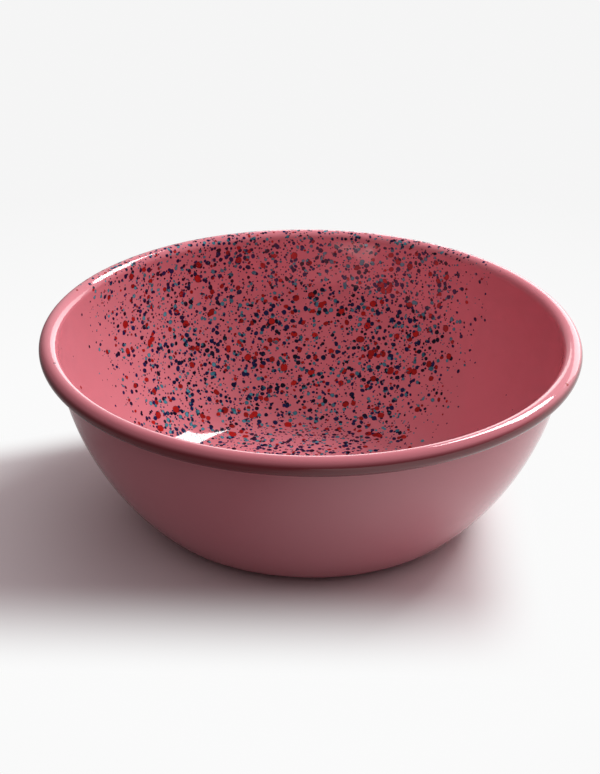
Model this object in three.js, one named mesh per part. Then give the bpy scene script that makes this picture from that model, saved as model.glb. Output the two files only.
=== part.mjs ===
// A round salad bowl pressed from one steel sheet, its rim rolled outwards into a hollow bead,
// with a dark ground coat and a pink cover coat of enamel fired onto both faces.
// Millimetres, +Z up. The bowl stands on z = 0 and the Z axis is its axis.
import * as THREE from "three";

// Sizes of the bowl over its enamel.
const RIM_DIAMETER = 280;
const BOWL_HEIGHT = 100;
const FLAT_DIAMETER = 145; // of the flat that it stands on
const HEEL_RADIUS = 28; // outside, between the flat and the side
const SIDE_RADIUS = 143.5; // outside, of the side as seen in section
const BEAD_DIAMETER = 9.8; // of the rolled rim

// Thicknesses of its layers.
const COVER_COAT = 0.25;
const GROUND_COAT = 0.12;
const STEEL_SHEET = 0.8;
const BOND_GAP = 0.01; // left between two fused layers, so that no two solids overlap

// The seam under the bead, where the tail of the curl comes back to the side and enamel closes the slit.
const SEAM_GAP = 0.6; // from the tail to the side
const SEAM_FILLET = 1.2; // run of the enamel down the side, below the tail

// Facets round the axis, and along each stretch of the section.
const TURN_STEPS = 48;
const HEEL_STEPS = 4;
const SIDE_STEPS = 5;
const BEAD_STEPS = 3; // for each quarter of the bead
const FILLET_STEPS = 3;

const DOWN = -Math.PI / 2;
const UP = Math.PI / 2;

// Layers from the inside of the bowl to its outside, and the depth of each one's two faces under the inside.
const LAYERS = [COVER_COAT, GROUND_COAT, STEEL_SHEET, GROUND_COAT, COVER_COAT];
const layerTop = (n) => LAYERS.slice(0, n).reduce((sum, t) => sum + t + BOND_GAP, 0);
const layerBottom = (n) => layerTop(n) + LAYERS[n];
const WALL = layerBottom(4);
const CURL = layerBottom(2); // the inside coats and the sheet, which roll over together

const polar = (centre, radius, angle) =>
  new THREE.Vector2(centre.x + radius * Math.cos(angle), centre.y + radius * Math.sin(angle));

const angleOf = (from, to) => Math.atan2(to.y - from.y, to.x - from.x);

// Points along an arc, without its first one.
const arc = (centre, radius, from, to, steps) =>
  Array.from({ length: steps }, (_, i) => polar(centre, radius, from + ((to - from) * (i + 1)) / steps));

// Angle at the corner between sides a and b of a triangle whose third side is c.
const cornerAngle = (a, b, c) => Math.acos((a * a + b * b - c * c) / (2 * a * b));

// Centres of the section's arcs, in (radius, height): the side is tangent to the heel and to the bead.
const beadRadius = BEAD_DIAMETER / 2;
const beadReach = SIDE_RADIUS - WALL + beadRadius; // from the side's centre to the bead's
const bead = new THREE.Vector2(RIM_DIAMETER / 2 - beadRadius, BOWL_HEIGHT - beadRadius);
const heel = new THREE.Vector2(FLAT_DIAMETER / 2, HEEL_RADIUS);
const heelReach = SIDE_RADIUS - HEEL_RADIUS;
const turn = cornerAngle(heelReach, heel.distanceTo(bead), beadReach);
const side = polar(heel, heelReach, angleOf(heel, bead) + turn);

// Angles at which one stretch hands over to the next.
const heelEnd = angleOf(side, heel);
const sideEnd = angleOf(side, bead);
const tail = sideEnd - (Math.PI - cornerAngle(beadReach, beadRadius, SIDE_RADIUS + SEAM_GAP));
const tailFoot = angleOf(side, polar(bead, beadRadius, tail));
const seamLow = tailFoot - SEAM_FILLET / SIDE_RADIUS;
const seamHigh = angleOf(side, polar(bead, beadRadius - CURL, tail));

// The section at a depth under the inside, from the axis to the seam.
function wallLine(depth) {
  const height = WALL - depth;
  return [
    new THREE.Vector2(0, height),
    new THREE.Vector2(heel.x, height),
    ...arc(heel, HEEL_RADIUS - height, DOWN, heelEnd, HEEL_STEPS),
    ...arc(side, SIDE_RADIUS - height, heelEnd, seamLow, SIDE_STEPS),
  ];
}

// The top of the side behind the seam, at a depth under the inside.
function seamLine(depth) {
  const radius = SIDE_RADIUS - WALL + depth;
  return [polar(side, radius, seamHigh), polar(side, radius, sideEnd)];
}

// The curl of the rim round the bead to its tail, at a depth under the inside.
function curlLine(depth) {
  const radius = beadRadius - depth;
  return [
    ...arc(bead, radius, sideEnd + Math.PI, UP, BEAD_STEPS),
    ...arc(bead, radius, UP, 0, BEAD_STEPS),
    ...arc(bead, radius, 0, tail, 2 * BEAD_STEPS - 1),
  ];
}

// A closed section turned round the axis: its outside face first, then back along its inside face.
function revolve(name, outside, inside, material) {
  const section = [...outside, ...inside.reverse()];
  const geometry = new THREE.LatheGeometry(section, TURN_STEPS).rotateX(UP);
  const mesh = new THREE.Mesh(geometry, material);
  mesh.name = name;
  return mesh;
}

// A layer that runs from the axis over the rim to the tail of the curl.
function rolledLayer(name, n, material) {
  const line = (depth) => [...wallLine(depth), ...seamLine(depth), ...curlLine(depth)];
  return revolve(name, line(layerBottom(n)), line(layerTop(n)), material);
}

// The outside ground coat stops inside the hollow of the curl.
function outsideGround(material) {
  const line = (depth) => [...wallLine(depth), ...seamLine(depth)];
  return revolve("outside_ground_coat", line(layerBottom(3)), line(layerTop(3)), material);
}

// The outside cover coat fills the slit between the side and the tail, with a fillet below it.
function outsideCover(material) {
  const away = new THREE.Vector2(Math.sin(tail), -Math.cos(tail)).multiplyScalar(BOND_GAP);
  const lip = polar(bead, beadRadius, tail).add(away);
  const root = polar(bead, beadRadius - CURL, tail).add(away);
  const wall = wallLine(WALL);
  const knee = polar(side, SIDE_RADIUS, tailFoot);
  const fillet = new THREE.QuadraticBezierCurve(wall.at(-1), knee, lip).getPoints(FILLET_STEPS);
  const behind = [...wallLine(layerTop(4)), seamLine(layerTop(4))[0]];
  return revolve("outside_cover_enamel", [...wall, ...fillet.slice(1), root], behind, material);
}

const material = (color, roughness, metalness) =>
  new THREE.MeshStandardMaterial({ color, roughness, metalness });

const steel = material(0x8d9094, 0.45, 1);
const ground = material(0x23262e, 0.4, 0);
const cover = material(0xd4848c, 0.15, 0);

const bowl = new THREE.Group();
bowl.name = "salad_bowl";
bowl.add(
  rolledLayer("pressed_steel_bowl", 2, steel),
  rolledLayer("inside_ground_coat", 1, ground),
  rolledLayer("inside_cover_enamel", 0, cover),
  outsideGround(ground),
  outsideCover(cover),
);

export default bowl;
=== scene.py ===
"""Looks of an enamelled steel salad bowl with a splattered inside.

Lengths are in millimetres until a mesh is made.
"""

import math

import bpy
from mathutils import Matrix, Quaternion, Vector


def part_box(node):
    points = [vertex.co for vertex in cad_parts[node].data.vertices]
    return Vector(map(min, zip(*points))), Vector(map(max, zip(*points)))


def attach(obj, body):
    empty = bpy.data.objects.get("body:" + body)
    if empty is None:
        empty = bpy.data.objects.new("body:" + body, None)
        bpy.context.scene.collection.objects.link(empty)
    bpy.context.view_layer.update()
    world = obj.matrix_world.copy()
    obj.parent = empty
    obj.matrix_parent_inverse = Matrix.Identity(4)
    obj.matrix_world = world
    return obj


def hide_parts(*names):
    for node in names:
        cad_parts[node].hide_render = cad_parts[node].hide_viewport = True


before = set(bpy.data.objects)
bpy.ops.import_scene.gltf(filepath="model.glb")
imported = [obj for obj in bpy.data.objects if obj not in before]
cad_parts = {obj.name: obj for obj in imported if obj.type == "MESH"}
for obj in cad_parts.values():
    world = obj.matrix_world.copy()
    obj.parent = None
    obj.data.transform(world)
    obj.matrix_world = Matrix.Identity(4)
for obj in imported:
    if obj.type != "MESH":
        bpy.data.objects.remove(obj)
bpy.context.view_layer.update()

MM = 0.001

# Sizes of the bowl over its enamel. The rim and the height are the frame's own.
RIM_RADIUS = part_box("inside_cover_enamel")[1].x / MM
BOWL_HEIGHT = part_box("inside_cover_enamel")[1].z / MM
FLAT_RADIUS = 72.5
HEEL_RADIUS = 28.0
SIDE_RADIUS = 143.5
BEAD_RADIUS = 4.9

# Thickness of each layer from the inside to the outside, with a hair's gap between two of them.
COVER_COAT = 0.25
GROUND_COAT = 0.12
STEEL_SHEET = 0.8
BOND_GAP = 0.01
LAYERS = (COVER_COAT, GROUND_COAT, STEEL_SHEET, GROUND_COAT, COVER_COAT)
BACKS = [sum(LAYERS[: n + 1]) + n * BOND_GAP for n in range(5)]  # depth of each layer's back under the inside
WALL = BACKS[4]
CURL = BACKS[2]  # the layers that roll over together into the bead

# The seam under the bead, closed by enamel.
SEAM_GAP = 0.6
SEAM_FILLET = 1.2

# Facets round the axis and along the heel, the side and the bead, where a face shows and where it is hidden.
SHOWN = {"facets": 192, "heel": 20, "side": 36, "bead": 64}
HIDDEN = {"facets": 96, "heel": 10, "side": 14, "bead": 24}
SWEEP_RADIUS = 60.0  # of the circle that a section is swept along; any size gives the same bowl

# Painted shade on the bead: its outer turn, by its angle, and how far out along that angle the painted shade starts
# and is darkest, as shares of the bead's radius.
PAINTED_SHADE_ANGLE = math.radians(-40)
PAINTED_SHADE_START, PAINTED_SHADE_FULL = 0.1, 0.62
ON_BEAD = 1.05  # share of the bead's radius within which a point is on the bead

# The splatter. It runs over the top of the bead, to an angle on it.
SPLATTER_END = math.radians(40)
PATCH_SIZE = 16  # of the places where drops fell thicker or thinner
THROW_EDGES = (  # heading across each soft edge of the throw, where the edge starts along it, and its width
    ((0.604, 0.797, 0), -52, 68),
    ((-0.732, 0.681, 0), -27, 55),
)
LARGEST_DROP = 6
LARGEST_ON_RIM = 1.9
RIM_START, RIM_FULL = 90, 95  # heights between which the largest drop comes down to the rim's
DROP_SIDES = 10
FLAT_DROP = 0.01  # thickness before it settles
DROP_RELIEF = 0.03  # of its top over the enamel
DROP_FOOT = 0.85  # height of its closed underside as a share of the relief, clear of the enamel's facets
OUTLINE_RIPPLE = 1.3
OUTLINE_SWING = 0.3  # as a share of the drop's size

# The camera, from a fit to the bowl's outlines.
FOCAL_PIXELS = 1893.0
IMAGE_HEIGHT = 774.0
SENSOR = 36.0
CAMERA_DISTANCE = 1026.7
CAMERA_ELEVATION = math.radians(30.356)
CAMERA_TILT = math.radians(-3.31)
CAMERA_PAN = math.radians(-0.342)
CAMERA_ROLL = math.radians(0.626)

# Brightness of the background paper as it is seen close to the bowl and far from it, and of the room; 1 is white.
NEAR_PAPER = 0.96
FAR_PAPER = 0.915
ROOM_LIGHT = 0.95
MIRRORED_BACKDROP = 1.0
MIRRORED_ROOM = 0.08

# The part of the paper that shows the bowl's shadow: the heading across each of its edges, and how far along that
# heading the part ends and is whole.
SHADOW_EDGES = (
    ((0, 1, 0), -165, -85),
    ((0, 1, 0), 170, 110),
    ((1, 0, 0), 120, 75),
    ((1, 0, 0), -420, -300),
    ((-0.357, 0.934, 0), 118, 86),
)
PAPER_REACH = 6000

DOWN = -math.pi / 2


def linear(colour):
    """An sRGB hex colour as the linear values that a shader takes."""
    parts = [int(colour[i : i + 2], 16) / 255 for i in (1, 3, 5)]
    return tuple(c / 12.92 if c <= 0.04045 else ((c + 0.055) / 1.055) ** 2.4 for c in parts) + (1.0,)


def add(tree, kind, inputs=(), **settings):
    """Adds a node with its settings. An input takes a value, or the socket or node that feeds it."""
    node = tree.nodes.new(kind)
    for name, value in settings.items():
        setattr(node, name, value)
    for key, value in dict(inputs).items():
        if isinstance(value, bpy.types.Node):
            value = next(socket for socket in value.outputs if socket.enabled)
        if isinstance(value, bpy.types.NodeSocket):
            tree.links.new(value, node.inputs[key])
        else:
            node.inputs[key].default_value = value
    return node


# The section of the bowl, as (radius, height).


def polar(centre, radius, angle):
    return (centre[0] + radius * math.cos(angle), centre[1] + radius * math.sin(angle))


def angle_of(start, end):
    return math.atan2(end[1] - start[1], end[0] - start[0])


def arc(centre, radius, start, end, steps):
    """Points along an arc, without its first one."""
    return [polar(centre, radius, start + (end - start) * (i + 1) / steps) for i in range(steps)]


def corner_angle(a, b, c):
    """Angle between sides a and b of a triangle whose third side is c."""
    return math.acos((a * a + b * b - c * c) / (2 * a * b))


bead = (RIM_RADIUS - BEAD_RADIUS, BOWL_HEIGHT - BEAD_RADIUS)
heel = (FLAT_RADIUS, HEEL_RADIUS)
bead_reach = SIDE_RADIUS - WALL + BEAD_RADIUS
heel_reach = SIDE_RADIUS - HEEL_RADIUS
side = polar(heel, heel_reach, angle_of(heel, bead) + corner_angle(heel_reach, math.dist(heel, bead), bead_reach))
heel_end = angle_of(side, heel)
side_end = angle_of(side, bead)
tail = side_end - (math.pi - corner_angle(bead_reach, BEAD_RADIUS, SIDE_RADIUS + SEAM_GAP))
tail_foot = angle_of(side, polar(bead, BEAD_RADIUS, tail))
seam_low = tail_foot - SEAM_FILLET / SIDE_RADIUS
seam_high = angle_of(side, polar(bead, BEAD_RADIUS - CURL, tail))


def wall_line(depth, top, steps):
    """The section at a depth under the inside, from the axis up the side to an angle."""
    height = WALL - depth
    floor = [(FLAT_RADIUS * share, height) for share in (0, 0.3, 0.6, 0.85, 0.97, 1)]
    foot = arc(heel, HEEL_RADIUS - height, DOWN, heel_end, steps["heel"])
    return floor + foot + arc(side, SIDE_RADIUS - height, heel_end, top, steps["side"])


def rolled_line(depth, end, steps):
    """The section at a depth under the inside, from the axis over the bead to an angle."""
    return wall_line(depth, side_end, steps) + arc(
        bead, BEAD_RADIUS - depth, side_end + math.pi, end, steps["bead"]
    )


def rolled_section(layer, steps):
    """A layer that rolls over the bead to its tail: its back, then its face in return."""
    back, face = BACKS[layer], BACKS[layer] - LAYERS[layer]
    return rolled_line(back, tail, HIDDEN) + rolled_line(face, tail, steps)[::-1]


def outside_ground_section():
    """The outside ground coat, which stops in the hollow of the bead."""
    back, face = BACKS[3], BACKS[3] - GROUND_COAT
    return wall_line(back, side_end, HIDDEN) + wall_line(face, side_end, HIDDEN)[::-1]


def outside_cover_section():
    """The outside cover coat, which fills the seam under the bead with a fillet."""
    away = (BOND_GAP * math.sin(tail), -BOND_GAP * math.cos(tail))
    edges = [polar(bead, radius, tail) for radius in (BEAD_RADIUS, BEAD_RADIUS - CURL)]
    lip, root = [(r + away[0], z + away[1]) for r, z in edges]
    shown = wall_line(WALL, seam_low, SHOWN)
    low, knee = Vector(shown[-1]), Vector(polar(side, SIDE_RADIUS, tail_foot))
    fillet = [low.lerp(knee, t).lerp(knee.lerp(Vector(lip), t), t)[:] for t in (0.2, 0.4, 0.6, 0.8, 1.0)]
    bonded = wall_line(WALL - COVER_COAT, seam_low, HIDDEN)
    bonded.append(polar(side, SIDE_RADIUS - COVER_COAT, seam_high))
    return shown + fillet + [root] + bonded[::-1]


# Geometry Nodes.


def node_tree(name, inputs):
    """A Geometry Nodes tree with named inputs; returns it with the sockets of its input node."""
    tree = bpy.data.node_groups.new(name, "GeometryNodeTree")
    tree.interface.new_socket("Geometry", in_out="INPUT", socket_type="NodeSocketGeometry")
    for label, kind in inputs.items():
        tree.interface.new_socket(label, in_out="INPUT", socket_type="NodeSocket" + kind)
    tree.interface.new_socket("Geometry", in_out="OUTPUT", socket_type="NodeSocketGeometry")
    return tree, add(tree, "NodeGroupInput").outputs


def grown(name, mesh, tree, values):
    """A plain mesh object from what the tree makes of a mesh."""
    piece = bpy.data.objects.new(name, mesh)
    bpy.context.scene.collection.objects.link(piece)
    modifier = piece.modifiers.new(tree.name, "NODES")
    modifier.node_group = tree
    for item in tree.interface.items_tree:
        if item.in_out == "INPUT" and item.name in values:
            modifier[item.identifier] = values[item.name]
    made = bpy.data.meshes.new_from_object(piece.evaluated_get(bpy.context.evaluated_depsgraph_get()))
    piece.modifiers.remove(modifier)
    piece.data = made
    return piece


def turning_tree():
    """Turns a section round the bowl's axis: it is swept along a circle, and its poles are welded."""
    tree, given = node_tree("turned_on_the_axis", {"Facets": "Int", "Sweep Radius": "Float", "Finish": "Material"})
    circle = add(
        tree, "GeometryNodeCurvePrimitiveCircle", {"Resolution": given["Facets"], "Radius": given["Sweep Radius"]}
    )
    level = add(tree, "GeometryNodeSetCurveNormal", {"Curve": circle}, mode="Z_UP")
    section = add(tree, "GeometryNodeMeshToCurve", {"Mesh": given["Geometry"]})
    swept = add(tree, "GeometryNodeCurveToMesh", {"Curve": level, "Profile Curve": section})
    welded = add(tree, "GeometryNodeMergeByDistance", {"Geometry": swept, "Distance": 1e-6})
    smooth = add(tree, "GeometryNodeSetShadeSmooth", {"Geometry": welded})
    plain = add(tree, "GeometryNodeRealizeInstances", {"Geometry": smooth})
    coated = add(tree, "GeometryNodeSetMaterial", {"Geometry": plain, "Material": given["Finish"]})
    add(tree, "NodeGroupOutput", {"Geometry": coated})
    return tree


def turned(name, section, facets, finish):
    line = bpy.data.meshes.new(name + "_section")
    points = [((r - SWEEP_RADIUS) * MM, -z * MM, 0) for r, z in reversed(section)]
    line.from_pydata(points, [(i, i + 1) for i in range(len(points) - 1)], [])
    return grown(name, line, turning, {"Facets": facets, "Sweep Radius": SWEEP_RADIUS * MM, "Finish": finish})


def splatter_tree():
    """Scatters drops of enamel over the inside face, each one melted down onto it."""
    tree, given = node_tree(
        "splattered_drops",
        {
            "Drops per Square Metre": "Float",
            "Smallest": "Float",
            "Largest over Smallest": "Float",
            "Rarity of Large": "Float",
            "Strays": "Float",
            "Relief": "Float",
            "Seed": "Int",
            "Finish": "Material",
        },
    )
    face = given["Geometry"]
    place = add(tree, "GeometryNodeInputPosition")

    # The throw opens towards the back of the bowl, between two soft edges that meet near the front of its floor.
    patches = add(tree, "ShaderNodeTexNoise", {"Vector": place, "Scale": 1 / (PATCH_SIZE * MM), "Detail": 2.0})
    thrown = add(
        tree,
        "ShaderNodeMapRange",
        {"Value": patches, "From Min": 0.3, "From Max": 0.7, "To Min": 0.55, "To Max": 1.35},
    )
    for across, start, fade in THROW_EDGES:
        reach = add(tree, "ShaderNodeVectorMath", {0: place, 1: across}, operation="DOT_PRODUCT").outputs["Value"]
        edge = add(
            tree,
            "ShaderNodeMapRange",
            {"Value": reach, "From Min": start * MM, "From Max": (start + fade) * MM},
            interpolation_type="SMOOTHSTEP",
        )
        thrown = add(tree, "ShaderNodeMath", {0: thrown, 1: edge}, operation="MULTIPLY")
    share = add(tree, "ShaderNodeMath", {0: thrown, 1: given["Strays"]}, operation="MAXIMUM")
    density = add(tree, "ShaderNodeMath", {0: share, 1: given["Drops per Square Metre"]}, operation="MULTIPLY")
    landed = add(
        tree, "GeometryNodeDistributePointsOnFaces", {"Mesh": face, "Density": density, "Seed": given["Seed"]}
    )

    # Most drops are small; each has its own size, stretch, heading and tint.
    chance, stretch, heading, tint = [
        add(
            tree,
            "FunctionNodeRandomValue",
            {
                "Min": low,
                "Max": high,
                "Seed": add(tree, "ShaderNodeMath", {0: given["Seed"], 1: offset}, operation="ADD"),
            },
        )
        for low, high, offset in ((0.0, 1.0, 11), (0.87, 1.15, 23), (0.0, 2 * math.pi, 37), (0.0, 1.0, 53))
    ]
    growth = add(tree, "ShaderNodeMath", {0: chance, 1: given["Rarity of Large"]}, operation="POWER")
    ratio = add(tree, "ShaderNodeMath", {0: given["Largest over Smallest"], 1: growth}, operation="POWER")
    size = add(tree, "ShaderNodeMath", {0: ratio, 1: given["Smallest"]}, operation="MULTIPLY")
    mist = add(tree, "ShaderNodeMapRange", {"Value": thrown, "From Max": 0.7, "To Min": 0.7})
    size = add(tree, "ShaderNodeMath", {0: size, 1: mist}, operation="MULTIPLY")
    height = add(tree, "ShaderNodeSeparateXYZ", {"Vector": place}).outputs["Z"]
    largest = add(
        tree,
        "ShaderNodeMapRange",
        {
            "Value": height,
            "From Min": RIM_START * MM,
            "From Max": RIM_FULL * MM,
            "To Min": LARGEST_DROP * MM,
            "To Max": LARGEST_ON_RIM * MM,
        },
    )
    size = add(tree, "ShaderNodeMath", {0: size, 1: largest}, operation="MINIMUM")
    length = add(tree, "ShaderNodeMath", {0: size, 1: stretch}, operation="MULTIPLY")
    width = add(tree, "ShaderNodeMath", {0: size, 1: stretch}, operation="DIVIDE")
    seeds = landed.outputs["Points"]
    for label, value in (("size", size), ("tint", tint)):
        seeds = add(tree, "GeometryNodeStoreNamedAttribute", {"Geometry": seeds, "Name": label, "Value": value})
    upright = add(tree, "FunctionNodeAlignRotationToVector", {"Vector": landed.outputs["Normal"]}, axis="Z")
    spin = add(tree, "FunctionNodeAxisAngleToRotation", {"Angle": heading})
    lying = add(
        tree, "FunctionNodeRotateRotation", {"Rotation": upright, "Rotate By": spin}, rotation_space="LOCAL"
    )

    # A drop is a low disc with a sloping edge, closed below. Each point keeps its side, for when the drop settles.
    disc = add(
        tree,
        "GeometryNodeMeshCone",
        {"Vertices": DROP_SIDES, "Radius Top": 0.4, "Radius Bottom": 0.5, "Depth": 1.0},
        fill_type="TRIANGLE_FAN",
    )
    rise = add(tree, "ShaderNodeSeparateXYZ", {"Vector": place}).outputs["Z"]
    side_of = add(tree, "ShaderNodeMapRange", {"Value": rise, "To Min": DROP_FOOT, "To Max": 1.0})
    facing = add(tree, "ShaderNodeMath", {0: disc.outputs["Bottom"], 1: -2, 2: 1}, operation="MULTIPLY_ADD")
    marked = add(tree, "GeometryNodeSetShadeSmooth", {"Geometry": disc})
    for label, value, domain in (("side", side_of, "POINT"), ("facing", facing, "FACE")):
        marked = add(
            tree,
            "GeometryNodeStoreNamedAttribute",
            {"Geometry": marked, "Name": label, "Value": value},
            domain=domain,
        )
    drops = add(
        tree,
        "GeometryNodeInstanceOnPoints",
        {
            "Points": seeds,
            "Instance": marked,
            "Rotation": lying,
            "Scale": add(tree, "ShaderNodeCombineXYZ", {"X": length, "Y": width, "Z": FLAT_DROP * MM}),
        },
    )
    drops = add(tree, "GeometryNodeRealizeInstances", {"Geometry": drops})

    # The outline wobbles, then every point settles on the face with its share of the drop's thickness.
    own_size, own_side, own_facing = [
        add(tree, "GeometryNodeInputNamedAttribute", {"Name": label}) for label in ("size", "side", "facing")
    ]
    ripple = add(tree, "ShaderNodeTexNoise", {"Vector": place, "Scale": 1 / (OUTLINE_RIPPLE * MM), "Detail": 1.0})
    centred = add(
        tree, "ShaderNodeVectorMath", {0: ripple.outputs["Color"], 1: (0.5, 0.5, 0.5)}, operation="SUBTRACT"
    )
    swing = add(tree, "ShaderNodeMath", {0: own_size, 1: OUTLINE_SWING}, operation="MULTIPLY")
    wobble = add(tree, "ShaderNodeVectorMath", {0: centred, "Scale": swing}, operation="SCALE")
    drops = add(tree, "GeometryNodeSetPosition", {"Geometry": drops, "Offset": wobble})
    seat = add(tree, "GeometryNodeProximity", {"Geometry": face}, target_element="FACES")
    outward = add(
        tree,
        "GeometryNodeSampleNearestSurface",
        {"Mesh": face, "Value": add(tree, "GeometryNodeInputNormal")},
        data_type="FLOAT_VECTOR",
    )
    lift = add(tree, "ShaderNodeMath", {0: own_side, 1: given["Relief"]}, operation="MULTIPLY")
    raised = add(tree, "ShaderNodeVectorMath", {0: outward, "Scale": lift}, operation="SCALE")
    settled = add(tree, "ShaderNodeVectorMath", {0: seat, 1: raised}, operation="ADD")
    drops = add(tree, "GeometryNodeSetPosition", {"Geometry": drops, "Position": settled})

    # A drop is flush with the enamel round it, so its gloss carries on from the face under it.
    flush = add(tree, "ShaderNodeVectorMath", {0: outward, "Scale": own_facing}, operation="SCALE")
    drops = add(
        tree, "GeometryNodeSetMeshNormal", {"Mesh": drops, "Custom Normal": flush}, mode="FREE", domain="CORNER"
    )
    drops = add(tree, "GeometryNodeSetMaterial", {"Geometry": drops, "Material": given["Finish"]})
    add(tree, "NodeGroupOutput", {"Geometry": drops})
    return tree


# Materials.


def new_material(name):
    material = bpy.data.materials.new(name)
    material.use_nodes = True
    material.node_tree.nodes.clear()
    return material, material.node_tree


def pink_enamel():
    """Vitreous enamel, sprayed and fired: an even pink with faint clouds, under a glassy, barely rippled gloss.

    It is painted darker round the outer turn of the bead: painted shade where the bead's lower side falls dark.
    """
    material, tree = new_material("pink_vitreous_enamel")
    place = add(tree, "ShaderNodeTexCoord").outputs["Object"]
    clouds = add(tree, "ShaderNodeTexNoise", {"Vector": place, "Scale": 1 / (30 * MM), "Detail": 3.0})
    colour = add(
        tree,
        "ShaderNodeMix",
        {"Factor": clouds, "A": linear("#e28894"), "B": linear("#e78f9a")},
        data_type="RGBA",
    )

    # Where on the bead's section a point lies, and so how much shade is painted there.
    flat = add(tree, "ShaderNodeVectorMath", {0: place, 1: (1, 1, 0)}, operation="MULTIPLY")
    radius = add(tree, "ShaderNodeVectorMath", {0: flat}, operation="LENGTH").outputs["Value"]
    height = add(tree, "ShaderNodeSeparateXYZ", {"Vector": place}).outputs["Z"]
    spot = add(tree, "ShaderNodeCombineXYZ", {"X": radius, "Y": height})
    from_bead = add(
        tree, "ShaderNodeVectorMath", {0: spot, 1: (bead[0] * MM, bead[1] * MM, 0)}, operation="SUBTRACT"
    )
    off_bead = add(tree, "ShaderNodeVectorMath", {0: from_bead}, operation="LENGTH").outputs["Value"]
    outer_turn = (math.cos(PAINTED_SHADE_ANGLE), math.sin(PAINTED_SHADE_ANGLE), 0)
    outward = add(
        tree, "ShaderNodeVectorMath", {0: from_bead, 1: outer_turn}, operation="DOT_PRODUCT"
    ).outputs["Value"]
    shade_ramp = add(
        tree,
        "ShaderNodeMapRange",
        {"Value": outward, "From Min": PAINTED_SHADE_START * BEAD_RADIUS * MM, "From Max": PAINTED_SHADE_FULL * BEAD_RADIUS * MM},
        interpolation_type="SMOOTHSTEP",
    )
    on_bead = add(tree, "ShaderNodeMath", {0: off_bead, 1: ON_BEAD * BEAD_RADIUS * MM}, operation="LESS_THAN")
    painted_shade = add(tree, "ShaderNodeMath", {0: shade_ramp, 1: on_bead}, operation="MULTIPLY")
    # Painted shade: a darker pink laid over the bead's outer turn.
    colour = add(
        tree, "ShaderNodeMix", {"Factor": painted_shade, "A": colour, "B": linear("#88323b")}, data_type="RGBA"
    )
    peel = add(tree, "ShaderNodeTexNoise", {"Vector": place, "Scale": 1 / (5 * MM), "Detail": 1.0})
    ripple = add(tree, "ShaderNodeBump", {"Height": peel, "Strength": 0.02, "Distance": 1 * MM})
    glass = add(
        tree,
        "ShaderNodeBsdfPrincipled",
        {"Base Color": colour, "Roughness": 0.06, "IOR": 1.6, "Normal": ripple},
    )
    add(tree, "ShaderNodeOutputMaterial", {"Surface": glass})
    return material


def drop_enamel(name, deep, bright):
    """A fused drop of coloured enamel: glossy, and no two drops quite the same shade."""
    material, tree = new_material(name)
    tint = add(tree, "ShaderNodeAttribute", attribute_name="tint").outputs["Fac"]
    colour = add(
        tree, "ShaderNodeMix", {"Factor": tint, "A": linear(deep), "B": linear(bright)}, data_type="RGBA"
    )
    glass = add(tree, "ShaderNodeBsdfPrincipled", {"Base Color": colour, "Roughness": 0.06, "IOR": 1.6})
    add(tree, "ShaderNodeOutputMaterial", {"Surface": glass})
    return material


def ground_enamel():
    """Ground-coat enamel: blue-black glass clouded by fine bubbles, fired before the colour and hidden by it."""
    material, tree = new_material("blue_black_ground_enamel")
    place = add(tree, "ShaderNodeTexCoord").outputs["Object"]
    bubbles = add(tree, "ShaderNodeTexNoise", {"Vector": place, "Scale": 1 / (0.8 * MM), "Detail": 2.0})
    colour = add(
        tree,
        "ShaderNodeMix",
        {"Factor": bubbles, "A": linear("#171a24"), "B": linear("#2c303c")},
        data_type="RGBA",
    )
    glass = add(tree, "ShaderNodeBsdfPrincipled", {"Base Color": colour, "Roughness": 0.25, "IOR": 1.52})
    add(tree, "ShaderNodeOutputMaterial", {"Surface": glass})
    return material


def sheet_steel():
    """Pickled deep-drawing steel: grey metal, dulled unevenly by the acid; hidden by the enamel."""
    material, tree = new_material("pickled_sheet_steel")
    place = add(tree, "ShaderNodeTexCoord").outputs["Object"]
    etch = add(tree, "ShaderNodeTexNoise", {"Vector": place, "Scale": 1 / (2 * MM), "Detail": 4.0})
    dulled = add(tree, "ShaderNodeMapRange", {"Value": etch, "To Min": 0.35, "To Max": 0.6})
    metal = add(
        tree,
        "ShaderNodeBsdfPrincipled",
        {"Base Color": linear("#8d9094"), "Metallic": 1.0, "Roughness": dulled},
    )
    add(tree, "ShaderNodeOutputMaterial", {"Surface": metal})
    return material


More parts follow.
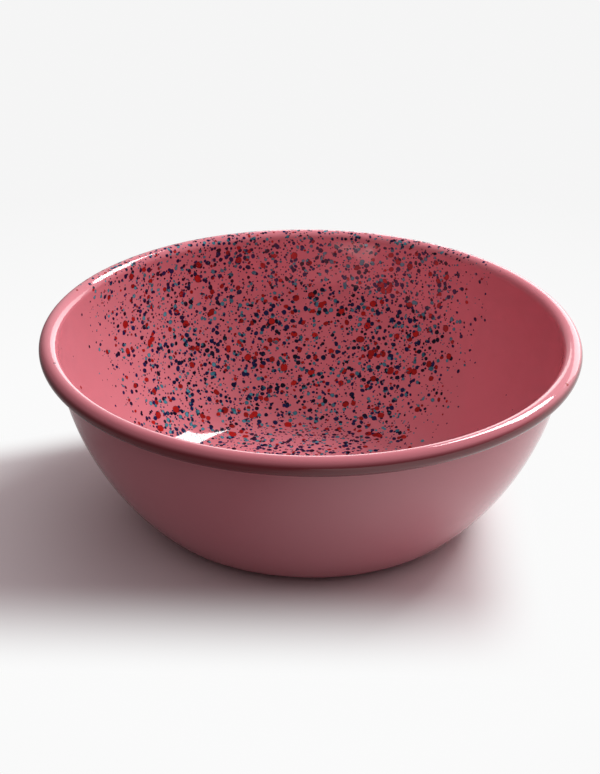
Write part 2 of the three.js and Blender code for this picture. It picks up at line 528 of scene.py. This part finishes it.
def white_paper():
    """Matt background paper: white with the faintest clouding, even and pale away from the bowl and its shadow."""
    material, tree = new_material("white_background_paper")
    place = add(tree, "ShaderNodeTexCoord").outputs["Object"]
    pulp = add(tree, "ShaderNodeTexNoise", {"Vector": place, "Scale": 1 / (60 * MM), "Detail": 3.0})
    colour = add(
        tree,
        "ShaderNodeMix",
        {"Factor": pulp, "A": linear("#eeeeee"), "B": linear("#f2f2f2")},
        data_type="RGBA",
    )
    seen_near = add(tree, "ShaderNodeBsdfDiffuse", {"Color": colour})
    away = add(tree, "ShaderNodeVectorMath", {0: place}, operation="LENGTH").outputs["Value"]
    plain = add(
        tree,
        "ShaderNodeMapRange",
        {"Value": away, "From Min": 220 * MM, "From Max": 480 * MM, "To Min": NEAR_PAPER, "To Max": FAR_PAPER},
    )
    seen_far = add(tree, "ShaderNodeEmission", {"Color": linear("#ffffff"), "Strength": plain})
    along = add(tree, "ShaderNodeSeparateXYZ", {"Vector": place}).outputs
    near = 1.0
    for across, outer, inner in SHADOW_EDGES:
        reach = add(tree, "ShaderNodeVectorMath", {0: place, 1: across}, operation="DOT_PRODUCT").outputs["Value"]
        edge = add(
            tree,
            "ShaderNodeMapRange",
            {"Value": reach, "From Min": outer * MM, "From Max": inner * MM},
            interpolation_type="SMOOTHSTEP",
        )
        near = add(tree, "ShaderNodeMath", {0: near, 1: edge}, operation="MULTIPLY")
    seen = add(tree, "ShaderNodeMixShader", {0: near, 1: seen_far, 2: seen_near})

    # Painted shade: the colour it sends back to the bowl is painted darker with distance, not on the lit side.
    spread = add(tree, "ShaderNodeMapRange", {"Value": away, "From Min": 130 * MM, "From Max": 350 * MM})
    lit_side = add(tree, "ShaderNodeMapRange", {"Value": along["X"], "From Min": 0.0, "From Max": 250 * MM})
    painted_falloff = add(
        tree,
        "ShaderNodeMix",
        {"Factor": spread, "A": linear("#d0d0d0"), "B": linear("#7c7c7c")},
        data_type="RGBA",
    )
    painted_falloff = add(tree, "ShaderNodeMix", {"Factor": lit_side, "A": painted_falloff, "B": linear("#dcdcdc")}, data_type="RGBA")
    dimmed = add(tree, "ShaderNodeBsdfDiffuse", {"Color": painted_falloff})
    path = add(tree, "ShaderNodeLightPath").outputs
    mirrored = add(
        tree, "ShaderNodeMath", {0: path["Is Glossy Ray"], 1: path["Is Transmission Ray"]}, operation="MAXIMUM"
    )
    # Gloss mirrors the paper as it is seen on the lit side only; elsewhere it mirrors the painted darker paper.
    lit_share = add(tree, "ShaderNodeMapRange", {"Value": along["X"], "From Min": -60 * MM, "From Max": 120 * MM})
    shown = add(tree, "ShaderNodeMath", {0: mirrored, 1: lit_share}, operation="MULTIPLY")
    looked_at = add(tree, "ShaderNodeMath", {0: path["Is Camera Ray"], 1: shown}, operation="MAXIMUM")
    paper = add(tree, "ShaderNodeMixShader", {0: looked_at, 1: dimmed, 2: seen})
    add(tree, "ShaderNodeOutputMaterial", {"Surface": paper})
    return material


# The bowl, layer by layer from its inside.
turning = turning_tree()
pink, ground, steel = pink_enamel(), ground_enamel(), sheet_steel()
for name, node, slot, section, steps, finish in (
    ("inside_enamel", "inside_cover_enamel", "pink_enamel", rolled_section(0, SHOWN), SHOWN, pink),
    ("inside_ground", "inside_ground_coat", "ground_enamel", rolled_section(1, HIDDEN), HIDDEN, ground),
    ("steel_pressing", "pressed_steel_bowl", "sheet_steel", rolled_section(2, HIDDEN), HIDDEN, steel),
    ("outside_ground", "outside_ground_coat", "ground_enamel", outside_ground_section(), HIDDEN, ground),
    ("outside_enamel", "outside_cover_enamel", "pink_enamel", outside_cover_section(), SHOWN, pink),
):
    layer = turned(name, section, steps["facets"], finish)
    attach(layer, "root")
    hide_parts(node)

# The splatter, thrown onto the inside and over the rim.
splatter = splatter_tree()
face_line = rolled_line(0, SPLATTER_END, SHOWN)
face = turned("splattered_face", face_line[::-1], SHOWN["facets"], pink)
for name, slot, deep, bright, per_square_cm, smallest, ratio, rarity, strays, seed in (
    ("dark_blue_drops", "dark_blue_enamel", "#0b0b28", "#1c2560", 15.8, 0.7, 4.4, 1.9, 0.006, 3),
    ("blue_green_drops", "blue_green_enamel", "#2f8192", "#57a9bb", 6.8, 0.7, 4.0, 1.8, 0.004, 8),
    ("red_drops", "red_enamel", "#9a1714", "#c4231e", 1.7, 1.1, 4.2, 1.2, 0.006, 14),
):
    drops = grown(
        name,
        face.data,
        splatter,
        {
            "Drops per Square Metre": per_square_cm * 1e4,
            "Smallest": smallest * MM,
            "Largest over Smallest": ratio,
            "Rarity of Large": rarity,
            "Strays": strays,
            "Relief": DROP_RELIEF * MM,
            "Seed": seed,
            "Finish": drop_enamel(slot, deep, bright),
        },
    )
    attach(drops, "root")
bpy.data.objects.remove(face)

# The stage.
sheet = bpy.data.meshes.new("paper")
corners = [(x * PAPER_REACH * MM, y * PAPER_REACH * MM, 0) for x, y in ((-1, -1), (1, -1), (1, 1), (-1, 1))]
sheet.from_pydata(corners, [], [(0, 1, 2, 3)])
sheet.materials.append(white_paper())
paper = bpy.data.objects.new("paper", sheet)
bpy.context.scene.collection.objects.link(paper)


def camera_matrix():
    """The camera looks past the bowl's foot: up by its tilt, aside by its pan, and turned by its roll."""
    down = CAMERA_ELEVATION + CAMERA_TILT
    ahead = Vector((math.sin(CAMERA_PAN) * math.cos(down), math.cos(CAMERA_PAN) * math.cos(down), -math.sin(down)))
    right = Vector((math.cos(CAMERA_PAN), -math.sin(CAMERA_PAN), 0))
    turn = Matrix.Rotation(CAMERA_ROLL, 3, -ahead)
    matrix = Matrix((turn @ right, turn @ right.cross(ahead), -ahead)).transposed().to_4x4()
    matrix.translation = (
        Vector((0, -math.cos(CAMERA_ELEVATION), math.sin(CAMERA_ELEVATION))) * CAMERA_DISTANCE * MM
    )
    return matrix


lens = bpy.data.cameras.new("camera")
lens.sensor_width = SENSOR
lens.lens = FOCAL_PIXELS / IMAGE_HEIGHT * SENSOR
camera = bpy.data.objects.new("camera", lens)
camera.matrix_world = camera_matrix()
bpy.context.scene.collection.objects.link(camera)
bpy.context.scene.camera = camera


def softbox(name, azimuth, elevation, tilt, distance, width, height, power):
    """A lamp in metres that faces the bowl; azimuth is from +X towards +Y, and the tilt raises its far end."""
    light = bpy.data.lights.new(name, "AREA")
    light.shape = "RECTANGLE"
    light.size, light.size_y, light.energy = width, height, power
    azimuth, elevation = math.radians(azimuth), math.radians(elevation)
    towards = Vector(
        (math.cos(elevation) * math.cos(azimuth), math.cos(elevation) * math.sin(azimuth), math.sin(elevation))
    )
    lamp = bpy.data.objects.new(name, light)
    lamp.location = towards * distance
    lamp.rotation_euler = (towards.to_track_quat("Z", "Y") @ Quaternion((0, 0, 1), math.radians(tilt))).to_euler()
    bpy.context.scene.collection.objects.link(lamp)


# The key makes the bright patch on the floor of the bowl; the one behind makes the pale line round its rim.
softbox("key_softbox", azimuth=46, elevation=46.5, tilt=26, distance=1.3, width=0.7, height=0.34, power=13.0)
softbox("back_softbox", azimuth=66, elevation=16, tilt=0, distance=1.6, width=1.6, height=0.7, power=7.5)

# A dim room, lit from overhead and a little more from the right.
world = bpy.data.worlds.new("studio")
bpy.context.scene.world = world
world.use_nodes = True
sky = world.node_tree
sky.nodes.clear()
heading = add(sky, "ShaderNodeSeparateXYZ", {"Vector": add(sky, "ShaderNodeTexCoord").outputs["Generated"]})
light = ROOM_LIGHT
for axis, start, end, low in (("Z", 0.3, 0.95, 0.1), ("X", -0.5, 0.5, 0.5)):
    ramp = add(
        sky,
        "ShaderNodeMapRange",
        {"Value": heading.outputs[axis], "From Min": start, "From Max": end, "To Min": low},
        interpolation_type="SMOOTHSTEP",
    )
    light = add(sky, "ShaderNodeMath", {0: light, 1: ramp}, operation="MULTIPLY")

# What the gloss mirrors of it: the pale backdrop behind the bowl, brightest on the right, and little else.
backdrop = MIRRORED_BACKDROP
for axis, start, end, low, high in (
    ("X", -0.6, 0.35, 0.0, 1.0),
    ("Y", 0.15, 0.6, 0.0, 1.0),
    ("Z", 0.35, 0.8, 1.0, 0.0),
):
    ramp = add(
        sky,
        "ShaderNodeMapRange",
        {"Value": heading.outputs[axis], "From Min": start, "From Max": end, "To Min": low, "To Max": high},
    )
    backdrop = add(sky, "ShaderNodeMath", {0: backdrop, 1: ramp}, operation="MULTIPLY")
mirrored = add(sky, "ShaderNodeMath", {0: backdrop, 1: MIRRORED_ROOM}, operation="ADD")
path = add(sky, "ShaderNodeLightPath").outputs
glossy = path["Is Glossy Ray"]
strength = add(sky, "ShaderNodeMix", {"Factor": glossy, "A": light, "B": mirrored})
tint = add(
    sky,
    "ShaderNodeMix",
    {"Factor": glossy, "A": linear("#ffebef"), "B": linear("#ffffff")},
    data_type="RGBA",
)
room = add(sky, "ShaderNodeBackground", {"Color": tint, "Strength": strength})

# Seen past the edge of the paper, it is as pale as the paper.
beyond = add(sky, "ShaderNodeBackground", {"Color": linear("#ffffff"), "Strength": FAR_PAPER})
seen_room = add(sky, "ShaderNodeMixShader", {0: path["Is Camera Ray"], 1: room, 2: beyond})
add(sky, "ShaderNodeOutputWorld", {"Surface": seen_room})

bpy.context.scene.view_settings.view_transform = "Standard"
